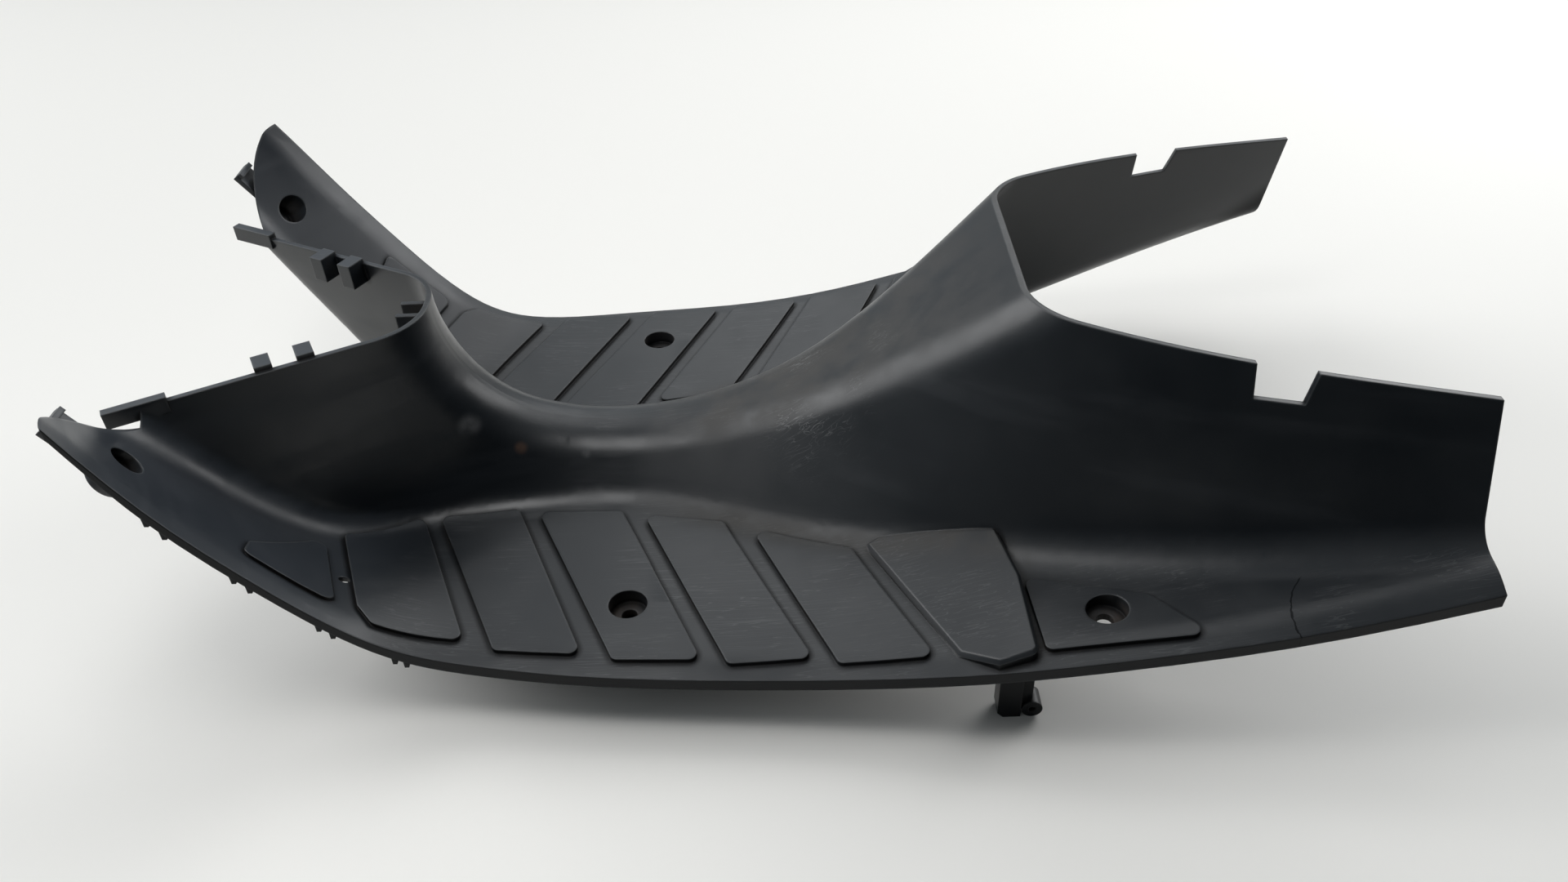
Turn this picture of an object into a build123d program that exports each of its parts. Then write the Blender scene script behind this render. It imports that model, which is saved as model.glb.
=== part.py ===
from build123d import *
from math import atan, atan2, cos, degrees, radians, sin, tan
import os

# Floorboard of a scooter: one moulded plastic shell, symmetric about the XZ plane.
# X runs rearward, Y to the side, Z up. Heights are written from the level of the foot
# wells, and the finished part is raised so that the two middle bolts seat at z = 0.

# Skin, rim flange and the sloping band beside the rim
SKIN = 3.0
RIM_WALL = 3.0
RIM_DEPTH = 7.0
BAND_WIDTH = 11.0
BAND_FALL = 12.0
BAND_RADIUS = 40.0

# Tunnel: its open V at the front, and the rounds of its nose, crown and foot
V_HEIGHT = 115.0
V_FRONT_X = -247.0
V_FRONT_HALF = 98.0
NOSE_AXIS_X = -27.0
NOSE_RADIUS = 82.0
NOSE_HALF = 26.0
NOSE_PLAN_RADIUS = 44.0
SHOULDER_RADIUS = 30.0
VALLEY_RADIUS = 24.0
FRONT_VALLEY_RADIUS = 20.0

# Rear bay between the wings, and the notch in the top of each wing
BAY_X = 209.0
BAY_HEIGHT = 140.0
BAY_FALL = 3.2
REAR_X = 412.0
NOTCH_X = 322.0
NOTCH_WIDTH = 27.0
NOTCH_DEPTH = 16.0
NOTCH_LEAN = 5.0

# Foot pads and heel blocks
PAD_RISE = 2.6
PAD_CORNER = 4.0
HEEL_EDGE = 2.0

# Bolt holes, each at the bottom of a recess that hangs below the skin as a cup
BOLT_RADIUS = 4.25
RECESS_RADIUS = 10.3
RECESS_DEPTH = 8.0
CUP_WALL = 3.0
CUP_FLOOR = 4.0
MIDDLE_BOLT_Y = 127.5
REAR_BOLT_X = 241.0
REAR_BOLT_Y = 166.0
REAR_BOLT_Z = 27.0
FRONT_BOLT_X = -228.0
FRONT_BOLT_Y = 129.0
FRONT_BOLT_Z = 110.0
FRONT_BOLT_TILT = 36.0
FRONT_RECESS_RADIUS = 8.5
DRAIN_X = -147.7
DRAIN_Y = 120.4
DRAIN_RADIUS = 2.5

# Feet under the middle bolts, and the screw brackets that hang below the rim
FOOT_Z = -38.0
FOOT_BORE = 8.5
BRACKET_X = 196.0
BRACKET_Y = 172.0
BRACKET_LENGTH = 12.0
BRACKET_WIDTH = 11.0
BRACKET_BEVEL = 3.0
SCREW_X = 207.7
SCREW_BOSS_RADIUS = 5.3
SCREW_PILOT_RADIUS = 1.8
SCREW_WEB = 6.0

# Clips at the front edges, and pairs of teeth below the rim
CLIP_LENGTH = 9.0
CLIP_DEPTH = 12.0
CLIP_HEIGHT = 15.0
CLIP_ABOVE = 3.0
CLIPS_X = [-181.0, -162.0]
NOSE_CLIP_LENGTH = 17.0
NOSE_CLIP_Y = 6.5
TONGUE_X = -236.0
TONGUE_LENGTH = 30.0
TONGUE_WIDTH = 5.0
TONGUE_HEIGHT = 9.0
TAB = (-246.0, 131.0, 130.0)
TAB_LENGTH = 20.0
TAB_WIDTH = 18.0
TAB_SLOPE = 54.0
TEETH_X = [-203.5, -175.5, -145.0, -113.0]
TEETH_GAP = 5.5
TOOTH = 2.2
TOOTH_DROP = 4.0

# Working extents of the lofted bodies, beyond the finished edges
REACH_Y = 240.0
REACH_DOWN = 420.0
TRIM_Z = -60.0
TRIM_HEIGHT = 300.0
REACH_FRONT = -300.0
REACH_REAR = 450.0


def on_nose(angle, half_width):
    """Point on the round of the nose, at an angle from straight below its axis."""
    a = radians(angle)
    return (NOSE_AXIS_X - NOSE_RADIUS * sin(a), half_width, V_HEIGHT - NOSE_RADIUS * cos(a))


# Guide lines of one side: outer rim, foot of the tunnel wall, shoulder of the crown
with BuildLine() as rim_line:
    Spline(
        (-320, 162, 290), (-262, 162, 200), (-233, 162, 155), (-205, 162, 109),
        (-176, 162, 70), (-147, 162, 36), (-115, 162, 11), (-75, 166, 1),
        (-25, 172, -1.5), (60, 179, -1.5), (133, 187, 5), (206, 195, 18),
        (292, 197, 32), (371, 197, 47.5), (450, 194, 65), (520, 194, 80),
    )
with BuildLine() as valley_line:
    Spline(
        (-330, 112, 245), (-272, 105, 152), (V_FRONT_X, V_FRONT_HALF, V_HEIGHT), (-218, 91, 74),
        (-190, 82, 38), (-160, 68, 10), (-110, 50, 0), (-70, 44, 0), (-27, 42, 0),
        (20, 48, 0), (70, 66, 0), (120, 85, 4), (165, 100, 10), (209, 115, 16),
        (255, 129, 24), (310, 144, 37), (370, 157, 53), (450, 173, 74), (520, 185, 92),
    )
with BuildLine() as shoulder_line:
    Spline(
        on_nose(135, 32), on_nose(112, 29), on_nose(90, NOSE_HALF), on_nose(60, 22),
        on_nose(30, 18), on_nose(0, 16), (40, 18, 37.5), (92, 26, 55), (150, 44, 92),
        (BAY_X, 68, BAY_HEIGHT), (255, 81, 180), (310, 91, 222), (370, 95, 255),
        (450, 90, 285), (520, 80, 310),
    )

# Plan of one side: the rim, and the front edge of the toe-board
with BuildLine() as rim_plan:
    Spline(
        (-234, 161), (-205, 164), (-147, 162), (-100, 163), (-25, 172), (60, 179),
        (133, 187), (190, 194.5), (260, 198), (340, 198), (REAR_X, 195),
    )
with BuildLine() as front_plan:
    Spline(rim_plan.line @ 0, (-243, 126), (-233, V_FRONT_HALF))

# Raised pads of one foot well, from the toe to the rear ledge, and the heel block
PADS = [
    [(-178, 146), (-181, 133), (-166, 89), (-143, 146)],
    [(-160, 79), (-123, 55.5), (-82, 152), (-126, 151), (-135, 141)],
    [(-114, 54), (-70, 48), (-21, 161.5), (-66, 158)],
    [(-58.5, 50), (-10, 51.5), (40, 167.5), (-5, 165.5)],
    [(3, 55.5), (49, 64), (96.5, 171.5), (53.5, 171)],
    [(65, 71), (120, 94.5), (156, 180), (109, 176.5)],
    [(206, 134.5), (262, 159), (283, 191), (208, 187)],
]
HEEL = [(127.5, 92), (140, 86), (165, 92), (196, 104), (203, 140), (204, 190), (185, 192), (167, 181)]
HEEL_FRONT_INNER = Vector(127.5, 92, 7.5)
HEEL_FRONT_OUTER = Vector(167, 181, 15)
HEEL_REAR = Vector(203, 150, 27.5)


def station(angle, x):
    """Section plane through the axis of the nose, or square to X behind it."""
    a = radians(angle)
    return Plane(origin=(x, 0, V_HEIGHT), x_dir=(0, 1, 0), z_dir=(cos(a), 0, -sin(a)))


def crossing(line, plane, low, high):
    """Place along a line where it passes through a section plane."""
    for _ in range(24):
        middle = (low + high) / 2
        if plane.to_local_coords(line @ middle).Z < 0:
            low = middle
        else:
            high = middle
    return low


def point_at(line, x):
    """Point of a guide line at a given X."""
    return line @ crossing(line, station(0, x), 0, 1)


GUIDES = [guide.line for guide in (rim_line, valley_line, shoulder_line)]
MIDDLES = [crossing(guide, station(0, NOSE_AXIS_X), 0, 1) for guide in GUIDES]


def corners(plane, front):
    """Rim, foot and shoulder corners in a section plane's own coordinates."""
    found = []
    for guide, middle in zip(GUIDES, MIDDLES):
        low, high = (0, middle) if front else (middle, 1)
        p = plane.to_local_coords(guide @ crossing(guide, plane, low, high))
        found.append(Vector(p.X, p.Y))
    return found


STATIONS = [(station(angle, NOSE_AXIS_X), True) for angle in range(117, 6, -9)]
STATIONS += [(station(0, x), False) for x in (NOSE_AXIS_X, *range(-5, 271, 25), *range(300, 451, 30))]
CORNERS = [corners(*s) for s in STATIONS]


def meet(a, b, c, d, inset):
    """Corner of lines a-b and c-d after both have moved inward by the inset."""
    u = (b - a).normalized()
    v = (d - c).normalized()
    p = a + Vector(-u.Y, u.X) * inset
    q = c + Vector(-v.Y, v.X) * inset
    t = ((q.X - p.X) * v.Y - (q.Y - p.Y) * v.X) / (u.X * v.Y - u.Y * v.X)
    return p + u * t


def hat(plane, front, found, inset):
    """One hat-shaped section: band, foot well, tunnel wall and crown."""
    rim, valley, shoulder = found
    slope = (valley.Y - rim.Y) / (rim.X - valley.X)
    rise = BAND_WIDTH * (slope + tan(radians(BAND_FALL)))
    fold = Vector(rim.X - BAND_WIDTH, rim.Y + rise)
    side = REACH_Y + 2 * inset
    edge = rim + (rim - fold) * ((side - rim.X) / (rim.X - fold.X))
    crown = Vector(0, shoulder.Y)
    lean = atan2(valley.X - shoulder.X, shoulder.Y - valley.Y)
    crown_cap = NOSE_PLAN_RADIUS if front else SHOULDER_RADIUS
    crown_round = min(crown_cap, 0.9 * shoulder.X / tan((radians(90) - lean) / 2))
    turn = (fold - valley).get_angle(shoulder - valley)
    foot_room = 0.6 * (fold - valley).length * tan(radians(turn) / 2)
    foot_round = min(FRONT_VALLEY_RADIUS if front else VALLEY_RADIUS, foot_room)
    fold_in = meet(edge, fold, fold, valley, inset)
    valley_in = meet(fold, valley, valley, shoulder, inset)
    shoulder_in = meet(valley, shoulder, shoulder, crown, inset)
    half = [edge + (fold_in - fold), fold_in, valley_in, shoulder_in]
    radii = [BAND_RADIUS - inset, foot_round + inset, crown_round - inset]
    across = [(p.X, p.Y) for p in half] + [(-p.X, p.Y) for p in reversed(half)]
    down = -REACH_DOWN - 10 * inset
    with BuildSketch(plane) as section:
        with BuildLine():
            FilletPolyline(*across, radius=radii + radii[::-1])
            Polyline(across[-1], (across[-1][0], down), (across[0][0], down), across[0])
        make_face()
    return section.sketch


def body(inset):
    """Solid below the upper face of the shell, or below its under face when inset."""
    with BuildPart() as lofted:
        loft([hat(plane, front, found, inset) for (plane, front), found in zip(STATIONS, CORNERS)])
    return lofted.part


upper = body(0)
lower = body(SKIN)
inside_skin = Pos(0, 0, -SKIN / 2) * upper

# Prism inside the rim flange, open at the front and the rear
with BuildPart() as hollow:
    with BuildSketch(Plane.XY.offset(TRIM_Z - 10)):
        with BuildLine():
            add(Pos(0, -RIM_WALL) * rim_plan.line)
            start = rim_plan.line @ 0 - (0, RIM_WALL)
            end = rim_plan.line @ 1 - (0, RIM_WALL)
            Polyline(start, (REACH_FRONT, start.Y), (REACH_FRONT, 0))
            Polyline(end, (REACH_REAR, end.Y), (REACH_REAR, 0))
            mirror(about=Plane.XZ)
        make_face()
    extrude(amount=TRIM_HEIGHT + 20)

# Everything lower than the flange and outside that prism
with BuildPart() as under_rim:
    with BuildSketch(Plane.XZ):
        with BuildLine():
            marks = [rim_line.line @ (0.06 + 0.03 * i) for i in range(30)]
            low_edge = Spline(*[(p.X, p.Z - RIM_DEPTH) for p in marks])
            ends = [((low_edge @ i).X, TRIM_Z - 40) for i in (0, 1)]
            Polyline(low_edge @ 0, ends[0], ends[1], low_edge @ 1)
        make_face()
    extrude(amount=REACH_Y, both=True)
    add(hollow.part, mode=Mode.SUBTRACT)

# The space under the skin
with BuildPart() as void:
    add(hollow.part)
    add(lower, mode=Mode.INTERSECT)

# Pads of one side: prisms cut off a little above the upper face
with BuildPart() as pads:
    with BuildSketch(Plane.XY.offset(-SKIN)) as pad_plan:
        for pad in PADS:
            with BuildLine():
                Polyline(*pad, close=True)
            make_face()
        fillet(pad_plan.vertices(), PAD_CORNER)
    extrude(amount=120)
    add(Pos(0, 0, PAD_RISE) * upper, mode=Mode.INTERSECT)


def heel_block(inset):
    """Wedge-shaped heel block of one side, or the pocket under it when inset."""
    along = HEEL_FRONT_OUTER - HEEL_FRONT_INNER
    up = (HEEL_REAR - HEEL_FRONT_INNER).cross(along).normalized()
    with BuildPart() as block:
        with BuildSketch() as plan:
            with BuildLine():
                Polyline(*HEEL, close=True)
            make_face()
            fillet(plan.vertices().sort_by(Axis.X)[-3:], PAD_CORNER)
            if inset > 0:
                offset(amount=-inset, kind=Kind.INTERSECTION, mode=Mode.REPLACE)
        extrude(amount=60)
        top = Plane(origin=HEEL_REAR - up * inset, x_dir=along, z_dir=up)
        split(bisect_by=top, keep=Keep.BOTTOM)
        if inset == 0:
            chamfer(block.faces().sort_by(Axis.Z)[-1].edges(), HEEL_EDGE)
    return block.part


# Cups, feet and screw brackets of one side, each ending inside what it hangs from
front_bolt = Plane(
    origin=(FRONT_BOLT_X, FRONT_BOLT_Y, FRONT_BOLT_Z),
    x_dir=(0, 1, 0),
    z_dir=(cos(radians(FRONT_BOLT_TILT)), 0, sin(radians(FRONT_BOLT_TILT))),
)
foot_height = -SKIN / 2 - FOOT_Z
cup_height = RECESS_DEPTH + CUP_FLOOR - PAD_RISE
leg_height = HEEL_REAR.Z - 2 * SKIN - FOOT_Z
screw_z = FOOT_Z + SCREW_BOSS_RADIUS
BASE = (Align.CENTER, Align.CENTER, Align.MIN)
HUNG = (Align.CENTER, Align.CENTER, Align.MAX)
with BuildPart() as front_cup:
    with Locations(front_bolt.offset(-RECESS_DEPTH - CUP_FLOOR)):
        Cylinder(FRONT_RECESS_RADIUS + CUP_WALL, 40, align=BASE)
    add(inside_skin, mode=Mode.INTERSECT)
with BuildPart() as fittings:
    with Locations((0, MIDDLE_BOLT_Y, FOOT_Z)):
        Cylinder(RECESS_RADIUS + CUP_WALL, foot_height, align=BASE)
    with Locations((REAR_BOLT_X, REAR_BOLT_Y, REAR_BOLT_Z - RECESS_DEPTH - CUP_FLOOR)):
        Cylinder(RECESS_RADIUS + CUP_WALL, cup_height, align=BASE)
    with Locations((BRACKET_X, BRACKET_Y, FOOT_Z)):
        Box(BRACKET_LENGTH, BRACKET_WIDTH, leg_height, align=BASE)
    chamfer(fittings.edges().filter_by(Axis.Y).group_by(Axis.Z)[0].sort_by(Axis.X)[0], BRACKET_BEVEL)
    with Locations((SCREW_X, BRACKET_Y, screw_z)):
        Cylinder(SCREW_BOSS_RADIUS, BRACKET_WIDTH, rotation=(90, 0, 0))
    with Locations(((BRACKET_X + SCREW_X) / 2, BRACKET_Y, screw_z)):
        Box(SCREW_X - BRACKET_X, SCREW_WEB, 2 * BRACKET_WIDTH, align=BASE)
    add(front_cup.part)

# Clips inside the V, tongue and tab at the front edge, and teeth below the rim, of one side
nose_x = NOSE_AXIS_X - NOSE_RADIUS
arm_slope = (V_FRONT_HALF - NOSE_HALF) / (nose_x - V_FRONT_X)
arm_turn = (0, 0, -degrees(atan(arm_slope)))
HIGH = (Align.CENTER, Align.MAX, Align.MAX)


def on_arm(x, drop, z):
    """Place beside the edge of the V, turned along it."""
    return Location((x, NOSE_HALF + (nose_x - x) * arm_slope - drop, z), arm_turn)


with BuildPart() as clips:
    with Locations([on_arm(x, 0.75 * SKIN, V_HEIGHT + CLIP_ABOVE) for x in CLIPS_X]):
        Box(CLIP_LENGTH, CLIP_DEPTH, CLIP_HEIGHT, align=HIGH)
    with Locations(on_arm(TONGUE_X, SKIN / 2, V_HEIGHT + CLIP_ABOVE)):
        Box(TONGUE_LENGTH, TONGUE_WIDTH, TONGUE_HEIGHT, align=HUNG)
    with Locations((nose_x - SKIN / 4, NOSE_CLIP_Y, V_HEIGHT - CLIP_ABOVE)):
        Box(NOSE_CLIP_LENGTH, SKIN, CLIP_HEIGHT, align=(Align.MAX, Align.CENTER, Align.MAX))
    with Locations(Location(TAB, (0, TAB_SLOPE, 0))):
        Box(TAB_LENGTH, TAB_WIDTH, SKIN)
    for x in TEETH_X:
        for step in (-TEETH_GAP / 2, TEETH_GAP / 2):
            rim = point_at(rim_line.line, x + step)
            wall = point_at(rim_plan.line, x + step)
            with Locations((rim.X, wall.Y - RIM_WALL / 2, rim.Z - RIM_DEPTH - TOOTH_DROP)):
                Box(TOOTH, TOOTH, 2 * TOOTH_DROP, align=BASE)

# The front opening between the arms of the V, and the rear one: the tops of the
# wings lie in one falling plane, with a notch in each
fall = tan(radians(BAY_FALL))
with BuildPart() as openings:
    with Locations((V_FRONT_X, 0, V_HEIGHT)):
        Box(2 * (NOSE_AXIS_X - V_FRONT_X), 2 * V_FRONT_HALF - 2, TRIM_HEIGHT, align=BASE)
    with BuildSketch(Plane.XZ):
        with BuildLine():
            near = (BAY_X - 100, BAY_HEIGHT + 100 * fall)
            far = (REAR_X + 10, BAY_HEIGHT - (REAR_X + 10 - BAY_X) * fall)
            Polyline(near, far, (far[0], TRIM_HEIGHT), (near[0], TRIM_HEIGHT), close=True)
        make_face()
        with BuildLine():
            floor = BAY_HEIGHT - (NOTCH_X - BAY_X) * fall - NOTCH_DEPTH
            left = NOTCH_X - NOTCH_WIDTH / 2
            right = NOTCH_X + NOTCH_WIDTH / 2
            top = floor + 2 * NOTCH_DEPTH
            ends = ((right - NOTCH_LEAN, floor), (right + NOTCH_LEAN, top))
            Polyline((left, floor), *ends, (left, top), close=True)
        make_face()
    extrude(amount=REACH_Y, both=True)

# Bolt holes with their recesses, the drain hole and the screw pilot of one side
with BuildPart() as bores:
    with Locations((0, MIDDLE_BOLT_Y, PAD_RISE - RECESS_DEPTH)):
        Cylinder(BOLT_RADIUS, 60)
        Cylinder(RECESS_RADIUS, 30, align=BASE)
    with Locations((0, MIDDLE_BOLT_Y, PAD_RISE - RECESS_DEPTH - CUP_FLOOR)):
        Cylinder(FOOT_BORE, 60, align=HUNG)
    with Locations((REAR_BOLT_X, REAR_BOLT_Y, REAR_BOLT_Z - RECESS_DEPTH)):
        Cylinder(BOLT_RADIUS, 30)
        Cylinder(RECESS_RADIUS, 30, align=BASE)
    with Locations(front_bolt.offset(-RECESS_DEPTH)):
        Cylinder(BOLT_RADIUS, 30)
        Cylinder(FRONT_RECESS_RADIUS, 30, align=BASE)
    with Locations((DRAIN_X, DRAIN_Y, 0)):
        Cylinder(DRAIN_RADIUS, 100)
    with Locations((SCREW_X, BRACKET_Y, screw_z)):
        Cylinder(SCREW_PILOT_RADIUS, 2 * BRACKET_WIDTH, rotation=(90, 0, 0))


def both_sides(*pieces):
    """The pieces of one side and their mirror images."""
    return [*pieces, *[mirror(piece, about=Plane.XZ, mode=Mode.PRIVATE) for piece in pieces]]


with BuildPart() as floorboard:
    with BuildSketch(Plane.XY.offset(TRIM_Z)):
        with BuildLine():
            add(rim_plan.line)
            add(front_plan.line)
            Line(front_plan.line @ 1, ((front_plan.line @ 1).X, 0))
            Line(rim_plan.line @ 1, (REAR_X, 0))
            mirror(about=Plane.XZ)
        make_face()
    extrude(amount=TRIM_HEIGHT)
    add(upper, mode=Mode.INTERSECT)
    add(both_sides(pads.part, heel_block(0)), clean=False)
    add(openings.part, clean=False, mode=Mode.SUBTRACT)
    add(under_rim.part, clean=False, mode=Mode.SUBTRACT)
    add([void.part, *both_sides(heel_block(SKIN))], clean=False, mode=Mode.SUBTRACT)
    add(both_sides(fittings.part, clips.part), clean=False)
    add(both_sides(bores.part), mode=Mode.SUBTRACT)

# The origin goes midway between the seats of the middle bolts
seated = Pos(0, 0, RECESS_DEPTH - PAD_RISE) * floorboard.part

os.makedirs("parts", exist_ok=True)
seated.label = "floorboard"
export_step(seated, "parts/floorboard.step")
print("floorboard", len(seated.solids()), "solid, valid:", seated.is_valid)
print(seated.bounding_box())
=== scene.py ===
# %% [markdown]
# # A scooter floorboard in black plastic
# The board is one moulding: two foot wells with raised pads, a tunnel between them,
# sloping toe-boards in front and two thin wings behind. Its shape comes ready from the
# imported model, in metres. This lesson smooths that shape, paints a used satin finish on
# it, adds the lips of its front tabs, and sets up a floor, soft light and a camera.

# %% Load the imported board
from math import cos, radians, sin

import bmesh
import bpy
from mathutils import Matrix, Vector


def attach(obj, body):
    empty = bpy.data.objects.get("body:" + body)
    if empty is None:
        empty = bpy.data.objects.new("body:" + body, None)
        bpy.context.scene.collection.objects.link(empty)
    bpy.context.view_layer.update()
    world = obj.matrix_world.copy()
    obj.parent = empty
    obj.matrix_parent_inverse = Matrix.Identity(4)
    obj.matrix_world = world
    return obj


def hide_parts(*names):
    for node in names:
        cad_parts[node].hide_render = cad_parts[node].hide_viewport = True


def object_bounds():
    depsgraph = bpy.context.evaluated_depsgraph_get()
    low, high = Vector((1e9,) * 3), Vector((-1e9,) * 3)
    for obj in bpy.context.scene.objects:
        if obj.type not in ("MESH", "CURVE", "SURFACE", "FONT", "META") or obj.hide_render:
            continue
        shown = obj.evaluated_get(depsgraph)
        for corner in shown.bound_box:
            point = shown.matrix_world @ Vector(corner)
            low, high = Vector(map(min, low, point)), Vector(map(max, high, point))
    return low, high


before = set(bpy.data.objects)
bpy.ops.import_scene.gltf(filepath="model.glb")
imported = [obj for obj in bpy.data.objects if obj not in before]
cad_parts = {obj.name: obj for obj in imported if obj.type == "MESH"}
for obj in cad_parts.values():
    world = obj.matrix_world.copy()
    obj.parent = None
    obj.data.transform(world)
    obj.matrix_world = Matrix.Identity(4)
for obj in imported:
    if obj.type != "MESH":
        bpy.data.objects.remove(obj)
CAD_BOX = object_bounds()
MM = 0.001
print("board measures", [round(length / MM) for length in CAD_BOX[1] - CAD_BOX[0]], "mm")

# %% [markdown]
# ## The shell
# A mould gives every face a smooth skin and leaves a small round on each edge. The packed
# mesh is loose triangles, so a copy of it is merged first, and edges that turn by more
# than a set angle stay sharp while all others are shaded as one curve. The small rounds
# are left to the finish, where the Bevel node bends the light near each edge: real bevels
# would have to work on the thin triangles of the curved faces, and would tear there.

# %% Merge and smooth the shell
SHARP_ANGLE = radians(32)
MERGE_REACH = 0.005


def add_object(name, data):
    """An object that shows this data in the scene."""
    made = bpy.data.objects.new(name, data)
    bpy.context.collection.objects.link(made)
    return made


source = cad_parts["floorboard"]
merged = bmesh.new()
merged.from_mesh(source.data)
bmesh.ops.remove_doubles(merged, verts=merged.verts, dist=MERGE_REACH * MM)
merged.verts.index_update()
points = [vert.co.copy() for vert in merged.verts]
corners = [[vert.index for vert in face.verts] for face in merged.faces]
merged.free()

shell_mesh = bpy.data.meshes.new("moulded_shell")
shell_mesh.from_pydata(points, [], corners)
shell_mesh.shade_smooth()
shell_mesh.set_sharp_from_angle(angle=SHARP_ANGLE)
shell = add_object("moulded_shell", shell_mesh)
print("shell has", len(points), "points and", len(corners), "triangles")

# %% [markdown]
# ## Shader arithmetic
# A finish is easier to read as sums than as a web of links. This class wraps one socket,
# so that wires can be added, scaled and compared in plain Python, and its node method
# makes every other kind of node from its settings and its inputs.

# %% A wire that can be used in sums
class Wire:
    """One output of a shader node, usable in arithmetic."""

    tree = None

    def __init__(self, socket):
        self.socket = socket

    @classmethod
    def node(cls, kind, settings=None, inputs=None, output=0):
        """Make a node and give its output. A node that ends a tree has none to give."""
        made = cls.tree.nodes.new("ShaderNode" + kind)
        for name, value in (settings or {}).items():
            setattr(made, name, value)
        for name, value in (inputs or {}).items():
            if isinstance(value, Wire):
                cls.tree.links.new(value.socket, made.inputs[name])
            else:
                made.inputs[name].default_value = value
        return cls(made.outputs[output]) if len(made.outputs) else None

    def math(self, operation, other, turned=False):
        first, second = (other, self) if turned else (self, other)
        return Wire.node("Math", {"operation": operation}, {0: first, 1: second})

    def __add__(self, other):
        return self.math("ADD", other)

    def __sub__(self, other):
        return self.math("SUBTRACT", other)

    def __rsub__(self, other):
        return self.math("SUBTRACT", other, turned=True)

    def __mul__(self, other):
        return self.math("MULTIPLY", other)

    def __pow__(self, other):
        return self.math("POWER", other)

    def __abs__(self):
        return self.math("ABSOLUTE", 0)

    __radd__ = __add__
    __rmul__ = __mul__

    def larger(self, other):
        return self.math("MAXIMUM", other)

    def at_least(self, least):
        """A wire from 0 to 1, squeezed into the range from least to 1."""
        return least + (1 - least) * self

    def rise(self, low, high):
        """0 below low, 1 above high, smooth between them. Falls when low is the larger."""
        ends = {"Value": self, "From Min": low, "From Max": high}
        return Wire.node("MapRange", {"interpolation_type": "SMOOTHSTEP"}, ends)


print("wires can be added, scaled and compared")

# %% Helpers for colours, vectors and clouds
CLOUD_ROUGHNESS = 0.55


def start_nodes(owner):
    """Empty the nodes of a material or a world and build there from now on."""
    owner.use_nodes = True
    owner.node_tree.nodes.clear()
    Wire.tree = owner.node_tree


def paint(under, over, cover):
    """One colour laid over another. A Mix node keeps its colours in sockets 6, 7 and 2."""
    return Wire.node("Mix", {"data_type": "RGBA"}, {0: cover, 6: under, 7: over}, output=2)


def most(first, *others):
    """The largest of several wires."""
    for other in others:
        first = first.larger(other)
    return first


def parts_of(vector):
    """The three numbers of a vector, as wires."""
    split = Wire.node("SeparateXYZ", {}, {0: vector}).socket.node
    return [Wire(socket) for socket in split.outputs]


def compare(operation, first, second):
    """One number from two vectors, such as the distance between them."""
    vectors = {0: first, 1: second}
    return Wire.node("VectorMath", {"operation": operation}, vectors, output="Value")


def cloud(place, size, detail=3.0):
    """Cloudy pattern from 0 to 1 whose patches are about this many metres across."""
    inputs = {"Vector": place, "Scale": 1 / size, "Detail": detail}
    return Wire.node("TexNoise", {}, {**inputs, "Roughness": CLOUD_ROUGHNESS})


print("shader tools ready")

# %% [markdown]
# ## The finish: satin black, scuffed and dusty
# Black moulding plastic is never quite black: the skin has a fine grain, and its tone
# and sheen change in broad patches. A picture could hold all this, but it would need an
# unwrapped shell and would blur close up. So each layer is worked out by noise nodes from
# the place on the board, and stays put from every side.

# %% Place, facing and clouds
BLACK = (0.0045, 0.0065, 0.009, 1)
SHEEN_GREY = (0.0115, 0.0138, 0.0165, 1)
PATCH_SIZE = 0.09
BLOTCH_SIZE = 0.025
SPECK_SIZE = 0.0016
GRAIN_SIZE = 0.0006

satin = bpy.data.materials.new("satin_black_plastic")
start_nodes(satin)
place = Wire.node("TexCoord", output="Object")
facing = Wire.node("NewGeometry", output="Normal")
x, y = parts_of(place)[:2]
sideways, up = parts_of(facing)[1:]
side = abs(y)
level_top = up.rise(0.8, 0.95)

patches = cloud(place, PATCH_SIZE)
blotches = cloud(place, BLOTCH_SIZE, detail=5)
specks = cloud(place, SPECK_SIZE, detail=2)
grain = cloud(place, GRAIN_SIZE, detail=2)
broken = blotches.rise(0.3, 0.6)
colour = paint(BLACK, SHEEN_GREY, patches.rise(0.3, 0.75))
print("plain black skin ready")

# %% [markdown]
# ### Edges and corners
# Edges of a used moulding are rubbed pale and dirt stays in its corners, while the narrow
# seams at the feet of the pads get painted shade. They could be painted by hand, but two
# nodes find them on any shape. Bevel gives the direction that a rounded edge would face,
# and where it differs from the real face there is an edge. Ambient Occlusion sees how shut
# in a point is: with a long reach it finds the corners, with a short one the seams. The
# skirt below the rim, found by its facing and its distance from the middle of the board,
# gets painted shade as well.

# %% Dirty corners, rubbed edges, and painted shade in the seams and on the skirt
EDGE_ROUND = 1.4
CORNER_REACH = 14.0
SEAM_REACH = 3.6
PROBES = 4
RIM = (0.15, 0.158)

rounded = Wire.node("Bevel", {"samples": PROBES}, {"Radius": EDGE_ROUND * MM})


def openness(reach):
    """1 in the open, less where the board shuts a point in within so many millimetres."""
    settings = {"samples": PROBES, "only_local": True}
    return Wire.node("AmbientOcclusion", settings, {"Distance": reach * MM}, output="AO")


hollow = openness(CORNER_REACH).rise(0.85, 0.45)
# painted shade: the seams at the feet of the pads, found by a short reach, are faded to dull
# black further down
seam_shade = openness(SEAM_REACH).rise(0.93, 0.7)
edge = compare("DOT_PRODUCT", rounded, facing).rise(0.98, 0.86)
rubbed = edge * (1 - hollow) * broken.at_least(0.4)
# painted shade: the outward faces of the skirt below the rim are faded to dull black further
# down
skirt_shade = up.rise(0.2, 0.1) * abs(sideways).rise(0.5, 0.8) * side.rise(*RIM)
print("edges are rounded by", EDGE_ROUND, "mm")
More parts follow.
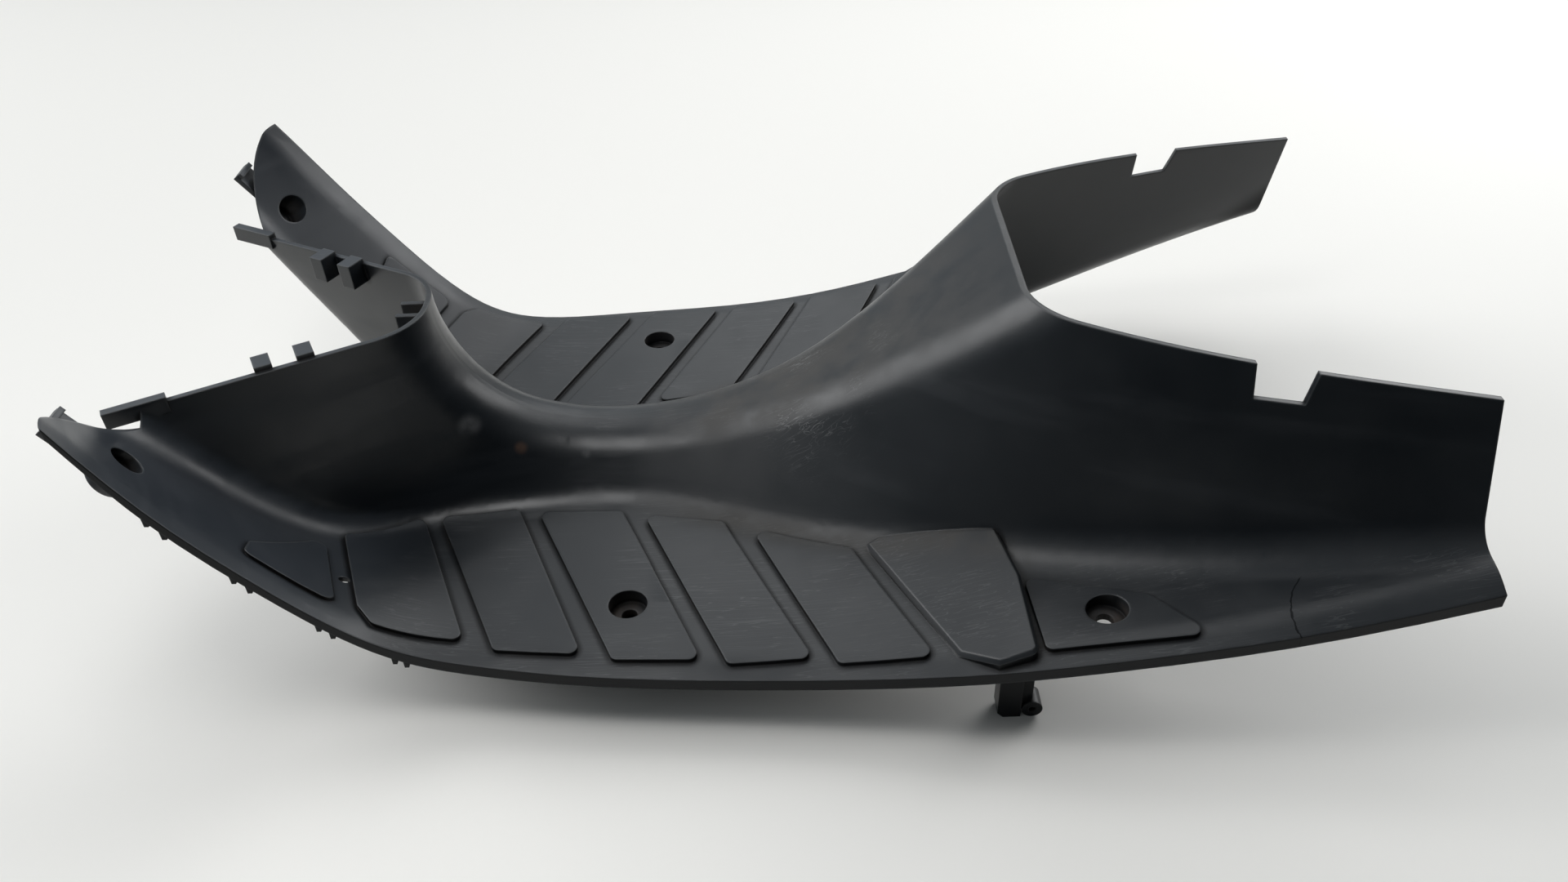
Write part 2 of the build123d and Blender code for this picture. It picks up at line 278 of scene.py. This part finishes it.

# %% [markdown]
# ### Dust, dirt and a painted sheen
# Dust lies on what faces upwards, and brown dirt from boots along the foot of the tunnel.
# The toe-boards get a pale bluish painted sheen for the light they catch. Real grains
# would be far too many to model. The facing and the place say where each layer lies, and
# clouds break it up.

# %% Dust on top, painted sheen on the toe-boards and dirt along the foot of the tunnel
FOOT_START = 41.0
FOOT_SLOPE = 0.37
FOOT_WIDTH = 21.0
FOOT_FRONT = (-0.02, 0.06)
FOOT_REAR = (0.24, 0.17)
DUST_REAR = (0.36, 0.2)
TOE_SHEEN_FRONT = (-0.11, -0.17)

from_foot = side - x * FOOT_SLOPE - FOOT_START * MM
along_foot = x.rise(*FOOT_FRONT) * x.rise(*FOOT_REAR) * from_foot.rise(FOOT_WIDTH * MM, 0)
dust = up.rise(0.25, 0.95) * patches.rise(0.35, 0.7).at_least(0.25) * specks.at_least(0.55)
dust = dust * x.rise(*DUST_REAR).at_least(0.4)
# painted sheen: the toe-boards are lightened with a bluish grey for the light they catch
toe_sheen = x.rise(*TOE_SHEEN_FRONT) * up.rise(0.25, 0.5) * patches.at_least(0.5)
dirt = hollow * blotches.rise(0.3, 0.65)
foot_dirt = along_foot * up.rise(0.6, 0.95) * blotches.rise(0.25, 0.6)
print("dirt band at the foot of the tunnel is", FOOT_WIDTH, "mm wide")

# %% [markdown]
# ### Scratches and wipes
# Pale hairline scratches cross the tunnel where things slid over it, and its walls are
# wiped in faint streaks. Each could be a curve drawn on the skin. A noise that is drawn
# out along one direction gives many at once: thin bands round its middle level are the
# scratches, and three turns of it cross each other.

# %% Scratches in three directions
SCRATCH_TURNS = (24, -38, 71)
SCRATCH_TILT = (0.1, 0.2)
SCRATCH_SCALE = (11, 330, 90)
SCRATCH_BAND = (0.009, 0.002)
SCRATCH_PATCH = 0.05
SCRATCH_PLACE = ((112, -18, 66), 62.0)


def stretched(scale, detail, turn=(0, 0, 0)):
    """Noise that is drawn out along the directions of small scale."""
    drawn_out = {"Vector": place, "Rotation": turn, "Scale": scale}
    inputs = {"Vector": Wire.node("Mapping", {}, drawn_out), "Scale": 1.0, "Detail": detail}
    return Wire.node("TexNoise", {}, inputs)


def scratches(turn):
    """Thin lines along one direction."""
    streaks = stretched(SCRATCH_SCALE, 1.5, (*SCRATCH_TILT, radians(turn)))
    return abs(streaks - 0.5).rise(*SCRATCH_BAND)


def mark(centre, reach):
    """A soft spot round one place, in millimetres, broken up by clouds."""
    away = compare("DISTANCE", place, [v * MM for v in centre])
    return away.rise(reach * MM, 0.2 * reach * MM) * broken


scratched = most(*[scratches(turn) for turn in SCRATCH_TURNS])
scratched = scratched * cloud(place, SCRATCH_PATCH, detail=2).rise(0.4, 0.6)
scratched = scratched * (mark(*SCRATCH_PLACE) + 0.2 * level_top)
print("scratches run along", SCRATCH_TURNS, "degrees")

# %% Faint wipes along the walls
WIPE_SCALE = (7, 7, 60)

wiped = stretched(WIPE_SCALE, 3.0).rise(0.48, 0.72) * up.rise(0.75, 0.45)
print("wipes on the walls ready")

# %% [markdown]
# ### Marks, rust and a crack
# A pale scuff, a brown rub and a light nick lie beside the nose, rust has come off the
# bolts, and a hairline crack runs into one rear ledge. Decals would need pictures, and a
# cut crack would open the solid. The distance from a point, from a bolt's axis or from a
# bent line gives the same marks in a few nodes.

# %% Single marks beside the nose
SCUFF = ((-95, -25, 54), 9.0)
RUB = ((-68, -25, 36), 5.0)
NICK = ((-31, -23, 29), 4.0)

scuff = most(mark(*SCUFF), mark(*NICK))
rub = mark(*RUB)
flecks = specks.rise(0.7, 0.8) * level_top * patches.rise(0.4, 0.65)
print("three marks beside the nose")

# %% Rust in the bolt recesses
BOLTS = [(0, 127.5), (241, 166)]
BOLT_RECESS = 10.3
RUST_FADE = 0.4


def recess(bolt_x, bolt_y):
    """1 inside the recess of one bolt and of its mirror image."""
    away_x = x - bolt_x * MM
    away_y = side - bolt_y * MM
    away = (away_x * away_x + away_y * away_y) ** 0.5
    return away.rise((BOLT_RECESS + RUST_FADE) * MM, (BOLT_RECESS - RUST_FADE) * MM)


rust = most(*[recess(*bolt) for bolt in BOLTS]) * blotches.rise(0.36, 0.6)
print("rust in", 2 * len(BOLTS), "recesses")

# %% The hairline crack in the rear ledge
CRACK_X = 321.0
CRACK_Y = -190.0
CRACK_BEND = 17.0
CRACK_START = -166.0
CRACK_FADE = 2.0
CRACK_WIDTH = 0.6
CRACK_WANDER = 3.0
CRACK_KINKS = 0.006

past = y - CRACK_Y * MM
wander = (cloud(place, CRACK_KINKS) - 0.5) * (CRACK_WANDER * MM)
from_crack = abs(x - CRACK_X * MM - past * past * CRACK_BEND + wander)
along_crack = y.rise((CRACK_START + CRACK_FADE) * MM, CRACK_START * MM)
crack = from_crack.rise(CRACK_WIDTH * MM, 0.4 * CRACK_WIDTH * MM) * along_crack
print("crack runs from the rim to", CRACK_START, "mm")

# %% [markdown]
# ### The coats
# Each layer becomes a coat: its colour lies over those before it as far as its cover says,
# and dirty places are rougher. Grain, scratches and the crack go into a Bump node. The
# seams and the skirt get painted shade, and the crack is dark: a dark colour alone would
# still mirror the room there, so a Mix Shader fades the plastic to a dull black.

# %% Lay the colours over each other
DUST = (0.1, 0.099, 0.096, 1)
DIRT = (0.026, 0.0195, 0.0145, 1)
FOOT_DIRT = (0.06, 0.053, 0.044, 1)
# pale bluish grey for the painted sheen on the toe-boards and for the faint wipes on the
# walls
TOE_SHEEN_AND_WIPES = (0.04, 0.047, 0.057, 1)
RUBBED = (0.075, 0.078, 0.08, 1)
SCRATCH = (0.16, 0.162, 0.165, 1)
RUST = (0.032, 0.018, 0.0105, 1)
BROWN = (0.09, 0.05, 0.032, 1)

coats = [
    (DUST, dust * 0.12),
    # painted sheen on the toe-boards, with the real wipes on the walls
    (TOE_SHEEN_AND_WIPES, toe_sheen * 0.7 + wiped * 0.1),
    (FOOT_DIRT, foot_dirt * 0.4),
    (DIRT, dirt * 0.7),
    (RUBBED, rubbed * 0.85),
    (SCRATCH, scratched * 0.85 + scuff * 0.5),
    (RUBBED, flecks * 0.3),
    (RUST, rust * 0.4),
    (BROWN, rub * 0.8),
]
for over, cover in coats:
    colour = paint(colour, over, cover)
print(len(coats), "coats of colour")

# %% Roughness, grain, the dull crack and painted shade on the seams and the skirt
PLAIN_ROUGHNESS = 0.23
GRAIN_STRENGTH = 0.12
GRAIN_DEPTH = 0.25
PLASTIC_IOR = 1.5
# dull black for the painted shade of the seams and the skirt, and for the crack
DULL_BLACK = (0.003, 0.003, 0.0033, 1)

roughness = PLAIN_ROUGHNESS + 0.1 * wiped + 0.18 * blotches + 0.12 * dust
roughness = roughness + 0.2 * dirt + 0.25 * rust + 0.25 * foot_dirt
height = 0.6 * grain + 0.5 * specks - 0.5 * scratched - 2.0 * crack
grained = {"Strength": GRAIN_STRENGTH, "Distance": GRAIN_DEPTH * MM, "Height": height}
bumped = Wire.node("Bump", {}, {**grained, "Normal": rounded})
skin = {"Base Color": colour, "Roughness": roughness, "Normal": bumped, "IOR": PLASTIC_IOR}
plastic = Wire.node("BsdfPrincipled", {}, skin)
dull_skin = {"Base Color": DULL_BLACK, "Roughness": 1.0, "Specular IOR Level": 0.0}
dull = Wire.node("BsdfPrincipled", {}, dull_skin)
# painted shade in the seams and on the skirt, together with the real crack, fades to the
# dull black
shade_and_crack = most(seam_shade * 0.6, crack * 0.7, skirt_shade * 0.6)
finish = Wire.node("MixShader", {}, {0: shade_and_crack, 1: plastic, 2: dull})
Wire.node("OutputMaterial", {}, {"Surface": finish})
shell_mesh.materials.append(satin)
print("finish has", len(satin.node_tree.nodes), "nodes")

# %% [markdown]
# ## The lips of the front tabs
# The tab at each front edge ends in a small raised lip that snaps behind the next panel.
# Two boxes could be placed by hand. Geometry Nodes keep their size and slope in one place:
# points mark where the lips go, the tree puts one bar on each point, and the result is
# turned into a plain mesh.

# %% A tree that puts one lip on each point
def lip_tree():
    """Geometry Nodes: one bar on every point, with named sizes."""
    tree = bpy.data.node_groups.new("clip_lips", "GeometryNodeTree")
    face = tree.interface
    face.new_socket("Geometry", in_out="INPUT", socket_type="NodeSocketGeometry")
    face.new_socket("Lip size", in_out="INPUT", socket_type="NodeSocketVector")
    face.new_socket("Turn", in_out="INPUT", socket_type="NodeSocketRotation")
    face.new_socket("Finish", in_out="INPUT", socket_type="NodeSocketMaterial")
    face.new_socket("Geometry", in_out="OUTPUT", socket_type="NodeSocketGeometry")
    start = tree.nodes.new("NodeGroupInput")
    bar = tree.nodes.new("GeometryNodeMeshCube")
    put = tree.nodes.new("GeometryNodeInstanceOnPoints")
    whole = tree.nodes.new("GeometryNodeRealizeInstances")
    coated = tree.nodes.new("GeometryNodeSetMaterial")
    end = tree.nodes.new("NodeGroupOutput")
    link = tree.links.new
    link(start.outputs["Lip size"], bar.inputs["Size"])
    link(start.outputs["Geometry"], put.inputs["Points"])
    link(bar.outputs["Mesh"], put.inputs["Instance"])
    link(start.outputs["Turn"], put.inputs["Rotation"])
    link(put.outputs["Instances"], whole.inputs["Geometry"])
    link(whole.outputs["Geometry"], coated.inputs["Geometry"])
    link(start.outputs["Finish"], coated.inputs["Material"])
    link(coated.outputs["Geometry"], end.inputs["Geometry"])
    return tree


LIPS = lip_tree()
print("lip tree has", len(LIPS.nodes), "nodes")

# %% Put the lips on the tabs
TAB = (-246.0, 131.0, 135.4)
TAB_SLOPE = radians(54)
TAB_END = 8.4
LIP_SIZE = (3.0, 17.0, 3.0)
LIP_RISE = 2.7

uphill = Vector((-cos(TAB_SLOPE), 0, sin(TAB_SLOPE)))
outward = Vector((sin(TAB_SLOPE), 0, cos(TAB_SLOPE)))
lip_places = []
for hand in (-1, 1):
    tab = Vector((TAB[0], hand * TAB[1], TAB[2]))
    lip_places.append((tab + TAB_END * uphill + LIP_RISE * outward) * MM)


def make_lips(name, places, size, turn):
    """Run the tree on these points and keep the result as a plain mesh."""
    marks = bpy.data.meshes.new(name + "_marks")
    marks.from_pydata(places, [], [])
    holder = add_object(name, marks)
    run = holder.modifiers.new("lips", "NODES")
    run.node_group = LIPS
    inputs = [item for item in LIPS.interface.items_tree if item.in_out == "INPUT"]
    sockets = {item.name: item.identifier for item in inputs}
    run[sockets["Lip size"]] = [length * MM for length in size]
    run[sockets["Turn"]] = turn
    run[sockets["Finish"]] = satin
    bpy.context.view_layer.update()
    evaluated = holder.evaluated_get(bpy.context.evaluated_depsgraph_get())
    plain = bpy.data.meshes.new_from_object(evaluated)
    holder.modifiers.remove(run)
    holder.data = plain
    return holder


tab_lips = make_lips("tab_lips", lip_places, LIP_SIZE, (0, TAB_SLOPE, 0))
print("tab lips:", len(tab_lips.data.polygons), "faces on", len(lip_places), "tabs")

# %% [markdown]
# ## The floor
# A pale floor carries the board and takes its shadow. It could be one endless plane, but
# black plastic is drawn by what it mirrors, and the walls that face the viewer would
# mirror the floor in front of them. So the floor fades out there, past the lower edge of
# the picture, by a Mix Shader with a Transparent one.

# %% The floor
FLOOR_Z = CAD_BOX[0].z
FLOOR_HALF = 6.0
FLOOR_FRONT = -0.6
FLOOR_FADE = (-0.56, -0.38)
FLOOR_COLOUR = (0.85, 0.835, 0.8, 1)
FLOOR_ROUGHNESS = 0.6

floor_mesh = bpy.data.meshes.new("floor")
near, far = FLOOR_FRONT, FLOOR_HALF
floor_plan = [(-far, near), (far, near), (far, far), (-far, far)]
floor_mesh.from_pydata([(px, py, FLOOR_Z) for px, py in floor_plan], [], [(0, 1, 2, 3)])
floor = add_object("floor", floor_mesh)
pale = bpy.data.materials.new("pale_floor")
start_nodes(pale)
floor_skin = {"Base Color": FLOOR_COLOUR, "Roughness": FLOOR_ROUGHNESS}
matt = Wire.node("BsdfPrincipled", {}, floor_skin)
clear = Wire.node("BsdfTransparent")
floor_y = parts_of(Wire.node("TexCoord", output="Object"))[1]
faded = Wire.node("MixShader", {}, {0: floor_y.rise(*FLOOR_FADE), 1: clear, 2: matt})
Wire.node("OutputMaterial", {}, {"Surface": faded})
floor_mesh.materials.append(pale)
print("floor lies at", round(FLOOR_Z / MM, 1), "mm")

# %% [markdown]
# ## The lamps
# A broad lamp high on the left gives the tunnel its long soft streak. Two panels stand
# behind the board, one of them to the right, and a small lamp hangs close above the front
# of the near well. Area lamps are used because their size sets how soft a streak or a
# shadow is, where a sun would draw it hard.

# %% The lamps
AIM = Vector((0.07, 0, 0.04))
LAMPS = [
    ("key_lamp", (-2.2, 0.7, 1.9), 2.0, 50),
    ("back_panel", (0.4, 1.0, 1.2), 1.4, 8),
    ("side_panel", (1.4, 1.0, 0.85), 1.0, 10),
    ("top_lamp", (-0.14, -0.2, 0.6), 0.25, 1.1),
]


def add_lamp(name, spot, size, power):
    """A square soft lamp that looks at the board."""
    light = bpy.data.lights.new(name, "AREA")
    light.size = size
    light.energy = power
    holder = add_object(name, light)
    holder.location = spot
    holder.rotation_euler = (AIM - Vector(spot)).to_track_quat("-Z", "Y").to_euler()


for settings in LAMPS:
    add_lamp(*settings)
print("lamps:", [settings[0] for settings in LAMPS])

# %% [markdown]
# ## The room
# The rest of the light comes from the room: bright above on the left and behind, dim in
# front, so that the walls that face the viewer stay dark. A picture of a real room would
# be one more file to read, so a ramp between two levels and a lighter back wall stand for
# it. The camera itself sees a plain pale backdrop.

# %% The room
ROOM_BRIGHT = (-0.6, 0.6, 0.53)
ROOM_LEVELS = (0.03, 0.52)
ROOM_START = -0.35
ROOM_TINT = (0.88, 0.95, 1, 1)
WALL_LEVEL = 0.66
BACKDROP = (0.86, 0.86, 0.85, 1)

world = bpy.data.worlds.new("studio")
bpy.context.scene.world = world
start_nodes(world)
look = Wire.node("TexCoord", output="Generated")
nearness = compare("DOT_PRODUCT", look, ROOM_BRIGHT)
dim, bright = ROOM_LEVELS
ramp = {"Value": nearness, "From Min": ROOM_START, "To Min": dim, "To Max": bright}
look_y, look_z = parts_of(look)[1:]
wall = look_y.rise(0.3, 0.85) * look_z.rise(0.02, 0.3) * WALL_LEVEL
level = most(Wire.node("MapRange", {}, ramp), wall)
room = Wire.node("Background", {}, {"Color": ROOM_TINT, "Strength": level})
backdrop = Wire.node("Background", {}, {"Color": BACKDROP, "Strength": 1.0})
seen = Wire.node("LightPath", output="Is Camera Ray")
surroundings = Wire.node("MixShader", {}, {0: seen, 1: room, 2: backdrop})
Wire.node("OutputWorld", {}, {"Surface": surroundings})
bpy.context.scene.view_settings.view_transform = "Standard"
print("room levels:", ROOM_LEVELS, "wall level:", WALL_LEVEL)

# %% [markdown]
# ## The camera
# The camera stands where the real board was seen from. Its place and turn were worked out
# from points that show on both halves of the board, and its lens from how flat the round
# recesses look. A constraint could aim it at the board, but three angles also hold the roll.

# %% The camera
CAMERA_PLACE = (90.7, -580.0, 465.4)
CAMERA_YAW = radians(-0.588)
CAMERA_PITCH = radians(37.856)
CAMERA_ROLL = radians(-2.454)
CAMERA_LENS = 27.75
SENSOR_WIDTH = 36
CLIP_START = 0.01


def camera_turn(yaw, pitch, roll):
    """Turn of a camera that looks along +Y, then yaws to +X, pitches down and rolls."""
    ahead = Vector((sin(yaw) * cos(pitch), cos(yaw) * cos(pitch), -sin(pitch)))
    right = Vector((cos(yaw), -sin(yaw), 0))
    above = right.cross(ahead)
    rolled = right * cos(roll) + above * sin(roll)
    above = above * cos(roll) - right * sin(roll)
    return Matrix((rolled, above, -ahead)).transposed()


lens = bpy.data.cameras.new("camera")
lens.lens = CAMERA_LENS
lens.sensor_width = SENSOR_WIDTH
lens.clip_start = CLIP_START
camera = add_object("camera", lens)
turned = camera_turn(CAMERA_YAW, CAMERA_PITCH, CAMERA_ROLL).to_4x4()
camera.matrix_world = Matrix.Translation(Vector(CAMERA_PLACE) * MM) @ turned
bpy.context.scene.camera = camera
print("camera at", CAMERA_PLACE, "mm")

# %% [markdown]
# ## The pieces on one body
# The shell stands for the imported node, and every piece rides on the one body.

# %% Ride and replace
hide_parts("floorboard")
for piece in (shell, tab_lips):
    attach(piece, "root")
